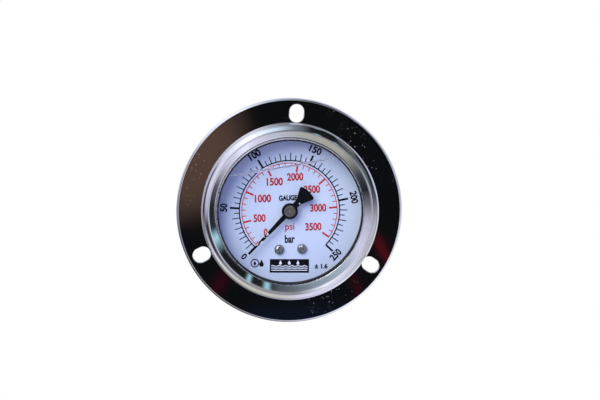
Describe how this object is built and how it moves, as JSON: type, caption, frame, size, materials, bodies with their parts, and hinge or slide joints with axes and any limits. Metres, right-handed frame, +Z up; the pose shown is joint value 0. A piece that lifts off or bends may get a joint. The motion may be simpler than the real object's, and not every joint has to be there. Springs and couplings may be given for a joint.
{
  "type": "pressure gauge",
  "caption": "Round liquid-filled dial pressure gauge with a slotted front flange for panel mounting and a threaded back stem.",
  "frame": {"origin": "on the gauge's axis, in the plane of the flange's back face, which rests on the panel", "axes": "+Y along the axis from the window towards the stem, so the dial faces -Y; +Z up on the dial"},
  "size_m": [0.085, 0.06, 0.085],
  "materials": {
    "chrome_plate": "mirror-bright chrome plate on pressed steel, fine handling scratches",
    "polished_steel": "polished stainless steel, bright spun finish",
    "plain_steel": "plain turned steel",
    "brass": "machined brass, light tool marks",
    "bronze": "drawn copper alloy, satin",
    "dial_print": "white enamelled aluminium with black and red printing",
    "pointer_black": "black painted aluminium, satin",
    "seal_rubber": "black moulded rubber, matt",
    "clear_window": "clear moulded window, polished"
  },
  "bodies": {
    "root": {"flange_ring": "chrome_plate", "bezel_ring": "polished_steel", "case_cup": "polished_steel", "dial_screw_left": "plain_steel", "dial_screw_right": "plain_steel", "case_screw_left": "plain_steel", "case_screw_right": "plain_steel", "plate_screw_lower_left": "plain_steel", "plate_screw_lower_right": "plain_steel", "plate_screw_upper": "plain_steel", "movement_screw_left": "plain_steel", "movement_screw_right": "plain_steel", "socket_stem": "brass", "restrictor_screw": "brass", "dial_post_left": "brass", "dial_post_right": "brass", "movement_front_plate": "brass", "movement_rear_plate": "brass", "pillar_lower_left": "brass", "pillar_lower_right": "brass", "pillar_upper": "brass", "hairspring_stud": "brass", "bourdon_tube": "bronze", "dial": "dial_print", "window_gasket": "seal_rubber", "stem_seal": "seal_rubber", "fill_plug": "seal_rubber", "window": "clear_window"},
    "pointer": {"pointer_blade": "pointer_black", "pointer_bush": "plain_steel", "pinion_staff": "plain_steel", "hairspring_collet": "brass", "hairspring": "bronze"},
    "sector": {"sector_gear": "brass", "sector_shaft": "plain_steel", "tail_pin": "plain_steel"},
    "link": {"link_bar": "plain_steel"},
    "tube_end": {"tube_tip": "brass", "tip_pin": "plain_steel"}
  },
  "joints": [
    {"name": "sector_swing", "type": "hinge", "parent": "root", "child": "sector", "pos_m": [0, 0, 0.0118], "axis": [0, -1, 0], "range_deg": [0, 25], "stiffness_Nm_per_rad": 0.01},
    {"name": "pointer_spin", "type": "hinge", "parent": "root", "child": "pointer", "pos_m": [0, 0, 0], "axis": [0, 1, 0], "range_deg": [0, 270]},
    {"name": "link_swing", "type": "hinge", "parent": "sector", "child": "link", "pos_m": [-0.0021, 0, 0.01578], "axis": [0, 1, 0], "range_deg": [0, 25]},
    {"name": "tube_end_travel", "type": "hinge", "parent": "root", "child": "tube_end", "pos_m": [0, 0, 0], "axis": [0, -1, 0], "range_deg": [0, 8.27], "deforming": ["bourdon_tube"]}
  ],
  "couplings": [
    {"joint": "pointer_spin", "follows": "sector_swing", "ratio": 10.8},
    {"joint": "link_swing", "follows": "sector_swing", "ratio": 1},
    {"joint": "tube_end_travel", "follows": "sector_swing", "ratio": 0.33098}
  ]
}
